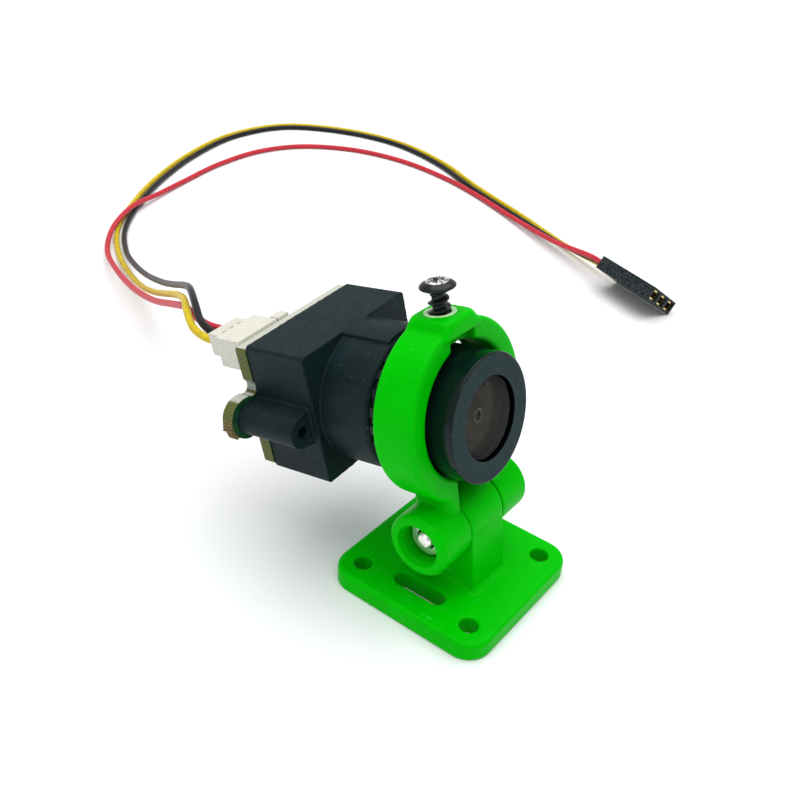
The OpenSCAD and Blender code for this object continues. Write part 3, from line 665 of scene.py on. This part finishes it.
def make_lens():
    """Lens barrel with its fine thread, front glass and what shows behind it."""
    front = LENS_FRONT
    seat = -4.7
    mouth_r = 5.3
    pitch = 0.5
    root_r = THREAD_R - 0.22
    thread_start = HEAD_BACK + 0.3
    thread_end = 12.6
    ridges = []
    for i in range(int((thread_end - thread_start) / pitch)):
        at = thread_start + i * pitch
        ridges += [(root_r, at), (THREAD_R, at + 0.19), (THREAD_R, at + 0.25), (root_r, at + 0.44)]
    outline = ([(mouth_r, seat), (mouth_r, front), (LENS_R - 0.2, front)]
               + arc((LENS_R - 0.18, front + 0.18), 0.18, -75, 0)
               + [(LENS_R, HEAD_BACK - 0.2), (LENS_R - 0.2, HEAD_BACK), (root_r, HEAD_BACK)]
               + ridges + [(THREAD_R - 0.25, 12.8), (THREAD_R - 0.4, 13.2), (5.4, 13.2)]
               + [(5.4, 14.2), (4.6, 14.2), (4.6, 8.5), (3, 8.5), (3, 3.2), (4.3, 3.2), (4.3, -3.35)]
               + [(4.9, -3.35), (4.9, seat)])
    barrel = assemble("lens_barrel_turned", (lathe(outline, 128), HERE))
    # The front face takes the lighter copy with the painted reflection.
    face_material(barrel, 1, lambda c: c.z < front + 0.002)
    barrel.data.transform(LENS_AXIS)
    settle(barrel, "lens", "lens_metal", ["lens_barrel"], ["lens_metal", "lens_face_painted_reflection"], sharp=25)

    rim_low = seat - 0.02
    section = lathe([(4.7, front), (mouth_r, front), (mouth_r, rim_low), (4.7, rim_low)], 128)
    rim = assemble("lens_retainer_turned", (section, HERE))
    # The front face takes the lighter copy with the painted reflection.
    face_material(rim, 1, lambda c: c.z < front + 0.002)
    rim.data.transform(LENS_AXIS)
    settle(rim, "lens", "lens_metal", ["lens_retainer"], ["lens_metal", "lens_face_painted_reflection"], sharp=25)

    # The glass bulges a little at the front, and its edge is blackened.
    steps = 24
    radius = 4.6
    bulge = 0.18
    glass_front = -4.98
    glass_back = -3.4
    near = [(radius * k / steps, glass_front - bulge * (1 - (k / steps) ** 2)) for k in range(steps + 1)]
    far = [(radius, glass_back), (0, glass_back)]
    glass_piece = assemble("front_lens_ground", (lathe(near + far, 96), HERE))
    face_material(glass_piece, 1, lambda c: math.hypot(c.x, c.y) > radius - 0.05)
    glass_piece.data.transform(LENS_AXIS)
    settle(glass_piece, "lens", "lens_glass", ["front_lens"], ["lens_glass", "lens_sleeve"], sharp=30)

    # The stop's aperture has a small lip, painted light grey as the reflection ring seen through the glass.
    stop = lathe([(0.78, -3.24), (4.27, -3.3), (4.27, 0.65), (3.4, 0.65), (3.4, -3.05), (0.78, -3.05)], 96)
    lip = lathe([(0.62, -3.2), (0.66, -3.3), (0.74, -3.32), (0.8, -3.24), (0.78, -3.1), (0.64, -3.1)], 48)
    sleeve = lathe([(4.63, -3.37), (4.88, -3.37), (4.88, -4.68), (4.72, -4.74), (4.69, -5.24), (4.63, -5.24)],
                   96)
    settle(assemble("lens_stop", (stop, LENS_AXIS), (lip, LENS_AXIS, 1), (sleeve, LENS_AXIS, 2)),
           "lens", "lens_metal", ["lens_spacer"], ["lens_inside", "aperture_lip_painted_reflection", "lens_sleeve"], sharp=30)


def make_lock_ring():
    """Knurled ring with square, chamfered teeth."""
    teeth = 24
    gap = 0.35
    chamfer = 0.12
    high = LOCK_BACK - LOCK_FRONT
    bore = THREAD_R + 0.05
    corners = [(0, gap), (0.08, 0), (0.57, 0), (0.65, gap)]    # share of a tooth's pitch, depth
    made = bmesh.new()

    def level(height, radius_of):
        """All corners at one height, each as far out as its depth says."""
        points = []
        for i in range(teeth):
            for share, deep in corners:
                angle = 2 * math.pi * (i + share) / teeth
                radius = radius_of(deep)
                points.append(made.verts.new((radius * math.cos(angle), radius * math.sin(angle), height)))
        return points

    outside = [(0, chamfer), (chamfer, 0), (high - chamfer, 0), (high, chamfer)]
    inside = [(high, bore + 0.1), (high - 0.1, bore), (0.1, bore), (0, bore + 0.1)]
    loops = [level(height, lambda deep: LOCK_R - max(deep, inset)) for height, inset in outside]
    loops += [level(height, lambda deep: radius) for height, radius in inside]
    count = len(loops[0])
    for i, loop in enumerate(loops):
        following = loops[(i + 1) % len(loops)]
        for k in range(count):
            after = (k + 1) % count
            made.faces.new([loop[k], loop[after], following[after], following[k]])
    bmesh.ops.recalc_face_normals(made, faces=made.faces[:])
    ring = assemble("lock_ring_toothed", (made, LENS_AXIS @ Matrix.Translation((0, 0, LOCK_FRONT))))
    settle(ring, "lock_ring", "lens_metal", ["lock_ring"], sharp=30)


# ---- Camera ----

def make_housing():
    """Black housing, whose edges are crisper than those of the mount."""
    housing = moulded("housing_moulding", "camera_housing", voxel=0.1, soften=3)
    settle(housing, "camera", "housing_plastic", ["camera_housing"], sharp=180)


def make_board_pads():
    """Tinned rings round the lug holes, vias, the socket's tabs and the processor's legs."""
    pads = []
    for side in (-1, 1):
        for at in (BOARD_FRONT, BOARD_BACK):
            flat = lathe([(0.95, at - 0.02), (1.9, at - 0.02), (1.9, at + 0.03), (0.95, at + 0.03)], 48)
            pads.append((flat, LENS @ Matrix.Translation((side * LUG_X, 0, 0)) @ ALONG_Y))
    for x, z in [(-7.6, -5.4), (-6.2, -5.4), (-7.6, -3.8), (-7.8, -1.2), (-6.4, 0.4), (7.4, 3.4),
                 (7.9, -2.6), (7.2, -4.6), (6.2, 6.9), (1.1, 4.2), (-0.9, 3.6), (-5.1, 2.8)]:
        via = lathe([(0.16, -0.01), (0.34, -0.01), (0.34, 0.04), (0.16, 0.04)], 20)
        pads.append((via, LENS @ Matrix.Translation((x, BOARD_BACK, z)) @ ALONG_Y))
    sunk = BOARD_BACK - 0.01
    for x in (-7.95, -2.65):
        tab = block((x - 0.45, sunk, 4.35), (x + 0.45, BOARD_BACK + 0.12, 4.95), 0.04)
        pads.append((tab, LENS))
    for k in range(7):
        x = 0.9 * k - 1.1
        for z in (-4.55, 2.95):
            leg = block((x - 0.18, sunk, z - 0.22), (x + 0.18, BOARD_BACK + 0.08, z + 0.22), 0.03)
            pads.append((leg, LENS))
    settle(assemble("board_pads", *pads), "camera", "contact", [], ["tin"], sharp=30)


def make_board_edge():
    """Ribbed plating in the notch above the left lug, and torn fibres on the lug itself."""
    notch_r = 0.85
    notch = (-9.6, -3.45)
    rib = 0.155
    start = BOARD_FRONT + 0.12
    ribs = []
    for k in range(9):
        low = start + k * rib
        inner = notch_r - 0.06 + 0.03 * (k % 2)
        band = arc(notch, notch_r + 0.02, -52, 44, 14) + arc(notch, inner, 44, -52, 14)
        ribs.append((prism(band, low, low + rib), LENS_AXIS))
    settle(assemble("notch_plating", *ribs), "camera", "contact", [], ["plating"], sharp=30)

    # The left lug was broken from its panel here, so the strips differ in reach and depth.
    lug = Matrix.Translation((-LUG_X - 0.65, 0, 0.45))
    strips = []
    for k in range(9):
        turn = Matrix.Rotation(-math.radians(168 + 7 * k), 4, "Y")
        reach = 2.5 + 0.1 * ((k * 5) % 4)
        depth = 0.25 * ((k * 3) % 3)
        strip = block((2.2, start + depth, -0.13), (reach, BOARD_BACK - 0.1, 0.12), 0.03)
        strips.append((strip, LENS @ lug @ turn))
    settle(assemble("board_torn_tab", *strips), "camera", "board", [], ["fibre"], sharp=30)


def make_board():
    """Circuit board with its processor, capacitors, crystal, image sensor and screws."""
    board = softened("board_laminate", "sensor_board", 0.06)
    settle(board, "camera", "board", ["sensor_board"], sharp=30)
    make_board_pads()
    make_board_edge()

    chip = block((-1.9, BOARD_BACK, -4.3), (5.1, BOARD_BACK + 0.9, 2.7), 0.07)
    marked = assemble("processor_package", (chip, HERE))
    dimple = lathe([(0, -0.08), (0.3, -0.08), (0.34, 0.2), (0, 0.2)], 24)
    combine(marked, assemble("dimple", (dimple, Matrix.Translation((-1.2, BOARD_BACK + 0.9, 2)) @ ALONG_Y)))
    marked.data.transform(LENS)
    settle(marked, "camera", "chip", ["video_processor"], sharp=30)

    parts = []
    places = [(-3.6, -4.6 + 1.3 * k) for k in range(6)] + [(-0.6 + 1.5 * k, -5.8) for k in range(5)]
    for x, z in places:
        body = block((x - 0.33, BOARD_BACK, z - 0.25), (x + 0.33, BOARD_BACK + 0.5, z + 0.25), 0.03)
        parts.append((body, LENS))
        for side in (-1, 1):
            low, high = sorted((x + side * 0.28, x + side * 0.5))
            end = block((low, BOARD_BACK, z - 0.27), (high, BOARD_BACK + 0.53, z + 0.27), 0.04)
            parts.append((end, LENS, 1))
    settle(assemble("capacitor_row", *parts), "camera", "capacitor", ["board_capacitors"],
           ["capacitor", "tin"], sharp=30)

    can = block((2.35, BOARD_BACK + 0.1, 4.1), (5.25, BOARD_BACK + 0.8, 6.3), 0.14)
    lip = block((2.2, BOARD_BACK, 3.95), (5.4, BOARD_BACK + 0.2, 6.45), 0.05)
    settle(assemble("crystal_can", (can, LENS), (lip, LENS)), "camera", "crystal_metal",
           ["board_crystal"], sharp=30)

    settle(softened("sensor_package", "image_sensor", 0.08), "camera", "chip", ["image_sensor"])
    settle(softened("lug_screws", "board_screws", 0.05), "camera", "black_steel", ["board_screws"],
           sharp=30)


def make_connectors():
    """Ivory socket and plug on the board, and the black plug at the wires' far end."""
    settle(softened("power_socket_shell", "power_socket", 0.07), "camera", "ivory_plastic",
           ["power_socket"], sharp=30)
    settle(softened("aux_socket_shell", "aux_socket", 0.06), "camera", "ivory_plastic",
           ["aux_socket"], sharp=30)
    plug = softened("power_plug_shell", "power_plug", 0.07)
    for x in WIRE_X:
        window = block((x - 0.32, 25.2, 7.9), (x + 0.32, 26.5, 9), 0.03)
        combine(plug, assemble("window", (window, LENS)))
    settle(plug, "camera", "ivory_plastic", ["power_plug"], sharp=30)
    far = softened("cable_plug_shell", "cable_plug", 0.09)
    tongues = [(block((0.52, place - 0.66, 0.86), (2.88, place + 0.66, 1.24), 0.05), CABLE)
               for place in (-CABLE_PITCH, 0, CABLE_PITCH)]
    join(far, assemble("latch_tongues", *tongues))
    return settle(far, "camera", "black_plastic", ["cable_plug"], sharp=30)


make_mount()
make_pivot()
make_clamp_screw()
make_lens()
make_lock_ring()
make_housing()
make_board()
cable_shell = make_connectors()

# CAD nodes that stay: inner lenses, the filter and the metal contacts.
KEPT = {"middle_lens": "lens_glass", "rear_lens": "lens_glass", "ir_filter": "filter_glass",
        "socket_pins": "contact", "power_contacts": "contact", "cable_contacts": "contact"}
for node_name, material_name in KEPT.items():
    kept = frame["nodes"][node_name]
    kept.data.materials.clear()
    kept.data.materials.append(MATERIALS[material_name])


# ---- Floor and light ----

def make_floor():
    """Pale, wide floor just under the object."""
    mesh = bpy.data.meshes.new("floor")
    half = 3.0
    low = -0.00005
    mesh.from_pydata([(-half, -half, low), (half, -half, low), (half, half, low), (-half, half, low)],
                     [], [(0, 1, 2, 3)])
    s = Shader("floor", Base_Color=(0.88, 0.89, 0.9), Roughness=0.75)
    s.put(s.surface.inputs["Normal"], s.bump(s.noise(900, 3), 0.02 * MM))
    mesh.materials.append(s.material)
    add_object("floor", mesh)


def make_light(name, at, towards, size, power):
    """Rectangular lamp at a place, turned towards another; places in metres."""
    data = bpy.data.lights.new(name, "AREA")
    data.shape = "RECTANGLE"
    data.size, data.size_y = size
    data.energy = power
    light = bpy.data.objects.new(name, data)
    scene.collection.objects.link(light)
    heading = (Vector(at) - Vector(towards)).to_track_quat("Z", "Y")
    light.matrix_world = Matrix.Translation(at) @ heading.to_matrix().to_4x4()


def make_world():
    """Even, slightly cool light from all round."""
    world = bpy.data.worlds.new("studio")
    world.use_nodes = True
    background = world.node_tree.nodes["Background"]
    background.inputs["Color"].default_value = (0.97, 0.98, 1.0, 1)
    background.inputs["Strength"].default_value = 0.6
    scene.world = world


make_floor()
middle = (0, 0, 0.02)
make_light("overhead", (0.1, 0.03, 0.75), middle, (1.0, 1.0), 7.2)
make_light("left_panel", (-0.6, 0.1, 0.3), middle, (0.4, 0.4), 0.3)
make_world()
scene.view_settings.view_transform = "Standard"
